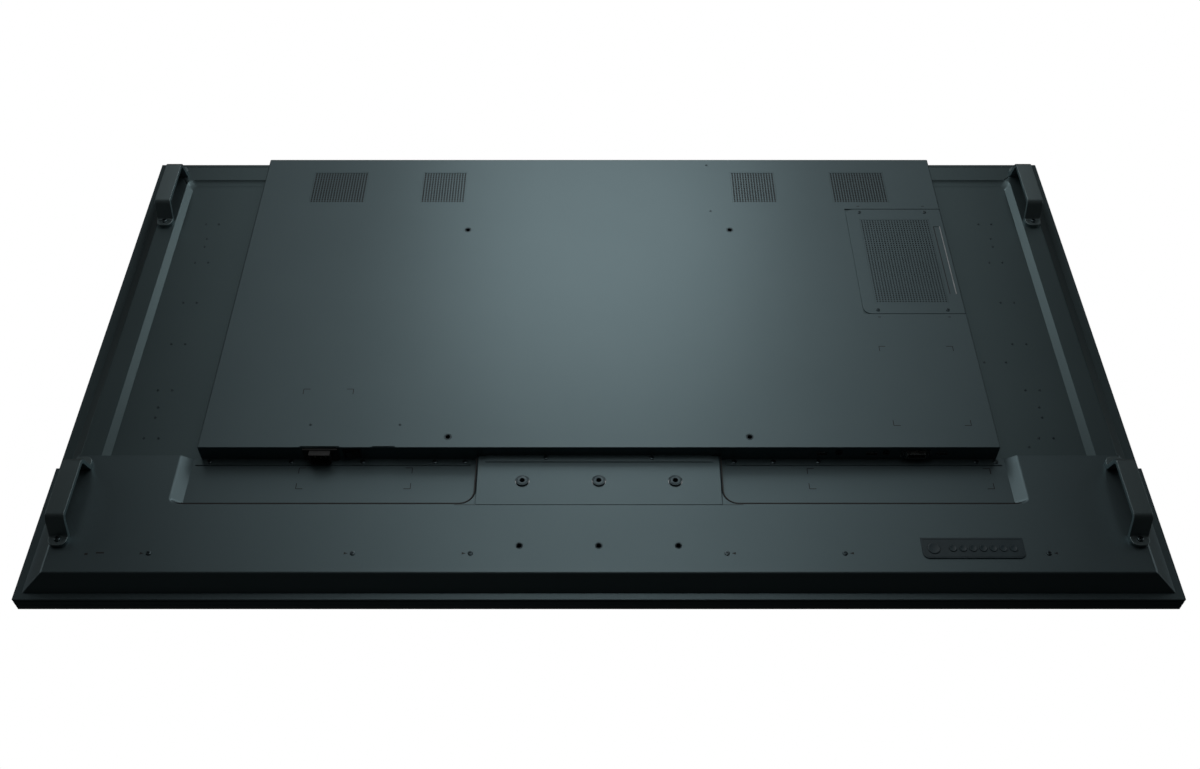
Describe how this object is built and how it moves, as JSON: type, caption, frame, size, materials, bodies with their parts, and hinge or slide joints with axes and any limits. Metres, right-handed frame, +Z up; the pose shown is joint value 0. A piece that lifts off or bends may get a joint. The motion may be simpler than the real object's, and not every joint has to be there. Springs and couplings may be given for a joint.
{
  "type": "signage display",
  "caption": "Large flat signage display seen from its back: thin sunk pan, sloped lower cover with cable bays, raised electronics box with vents, keypad and side handles.",
  "frame": {"origin": "centre of the 400 x 400 mm mount pattern, on the back face of the electronics box", "axes": "+Z up the display, +Y out of its back, -Y the way the screen faces, +X to the left as seen from behind"},
  "size_m": [1.46, 0.087, 0.837],
  "materials": {
    "powder_coat": "satin fine-texture charcoal powder coat",
    "pan_coat": "satin charcoal coil coat",
    "bezel_coat": "satin black",
    "panel_glass": "low-haze black screen glass",
    "light_film": "matte white",
    "moulded_frame": "matte black moulding",
    "led_board": "white solder mask on aluminium",
    "zinc_steel": "zinc plated",
    "screw_steel": "black zinc",
    "handle_coat": "satin charcoal enamel",
    "connector_black": "matte black nylon",
    "rocker_plastic": "semi-gloss black",
    "connector_metal": "bright nickel",
    "pin_metal": "nickel plated brass",
    "circuit_board": "green solder mask",
    "key_plastic": "fine-texture black"
  },
  "bodies": {
    "display": {"bezel_rail_bottom": "bezel_coat", "bezel_rail_left": "bezel_coat", "bezel_rail_right": "bezel_coat", "bezel_rail_top": "bezel_coat", "diffuser_plate": "light_film", "dvi_jack_screws": "screw_steel", "dvi_socket": "connector_metal", "electronics_cover": "powder_coat", "handle_lower_left": "handle_coat", "handle_lower_right": "handle_coat", "handle_screws": "screw_steel", "handle_upper_left": "handle_coat", "handle_upper_right": "handle_coat", "hdmi_sockets": "connector_metal", "jack_sockets": "connector_black", "keypad_board": "circuit_board", "keypad_surround": "key_plastic", "lcd_panel": "panel_glass", "led_bars": "led_board", "lower_cover": "powder_coat", "lower_cover_screws": "screw_steel", "main_board": "circuit_board", "middle_frame": "moulded_frame", "optical_sheets": "light_film", "option_bay": "pan_coat", "option_connector": "connector_black", "port_panel_centre": "powder_coat", "port_panel_left": "powder_coat", "port_panel_right": "powder_coat", "port_panel_screws": "screw_steel", "power_board": "circuit_board", "power_inlet": "connector_black", "power_inlet_pins": "pin_metal", "power_switch_frame": "connector_black", "rear_pan": "pan_coat", "reflector_sheet": "light_film", "speakers": "moulded_frame", "stand_bosses": "screw_steel", "stand_bracket": "zinc_steel", "stand_bridge_plate": "powder_coat", "stand_inserts": "screw_steel", "usb_socket": "connector_metal", "vent_grille_inner_left": "powder_coat", "vent_grille_inner_right": "powder_coat", "vent_grille_outer_left": "powder_coat", "vent_grille_outer_right": "powder_coat", "vesa_inserts": "screw_steel", "vesa_rails": "zinc_steel"},
    "power_button": {"power_button": "key_plastic"},
    "power_switch_rocker": {"power_switch_rocker": "rocker_plastic"},
    "option_cover": {"option_cover": "powder_coat", "option_cover_grille": "powder_coat", "option_cover_screws": "screw_steel"},
    "key_button_1": {"key_button_1": "key_plastic"},
    "key_button_2": {"key_button_2": "key_plastic"},
    "key_button_3": {"key_button_3": "key_plastic"},
    "key_button_4": {"key_button_4": "key_plastic"},
    "key_button_5": {"key_button_5": "key_plastic"},
    "key_button_6": {"key_button_6": "key_plastic"},
    "key_button_7": {"key_button_7": "key_plastic"}
  },
  "joints": [
    {"name": "power_button_press", "type": "slide", "parent": "display", "child": "power_button", "axis": [0, -1, 0], "range_m": [0, 0.0009], "stiffness_N_per_m": 800, "springref_m": -0.0005},
    {"name": "key_button_1_press", "type": "slide", "parent": "display", "child": "key_button_1", "axis": [0, -1, 0], "range_m": [0, 0.0009], "stiffness_N_per_m": 800, "springref_m": -0.0005},
    {"name": "key_button_2_press", "type": "slide", "parent": "display", "child": "key_button_2", "axis": [0, -1, 0], "range_m": [0, 0.0009], "stiffness_N_per_m": 800, "springref_m": -0.0005},
    {"name": "key_button_3_press", "type": "slide", "parent": "display", "child": "key_button_3", "axis": [0, -1, 0], "range_m": [0, 0.0009], "stiffness_N_per_m": 800, "springref_m": -0.0005},
    {"name": "key_button_4_press", "type": "slide", "parent": "display", "child": "key_button_4", "axis": [0, -1, 0], "range_m": [0, 0.0009], "stiffness_N_per_m": 800, "springref_m": -0.0005},
    {"name": "key_button_5_press", "type": "slide", "parent": "display", "child": "key_button_5", "axis": [0, -1, 0], "range_m": [0, 0.0009], "stiffness_N_per_m": 800, "springref_m": -0.0005},
    {"name": "key_button_6_press", "type": "slide", "parent": "display", "child": "key_button_6", "axis": [0, -1, 0], "range_m": [0, 0.0009], "stiffness_N_per_m": 800, "springref_m": -0.0005},
    {"name": "key_button_7_press", "type": "slide", "parent": "display", "child": "key_button_7", "axis": [0, -1, 0], "range_m": [0, 0.0009], "stiffness_N_per_m": 800, "springref_m": -0.0005},
    {"name": "power_switch_rock", "type": "hinge", "parent": "display", "child": "power_switch_rocker", "pos_m": [0.327, -0.0145, -0.2139], "axis": [0, -1, 0], "range_deg": [0, 16]},
    {"name": "option_cover_lift", "type": "slide", "parent": "display", "child": "option_cover", "axis": [0, 1, 0], "range_m": [0, 0.06]}
  ]
}
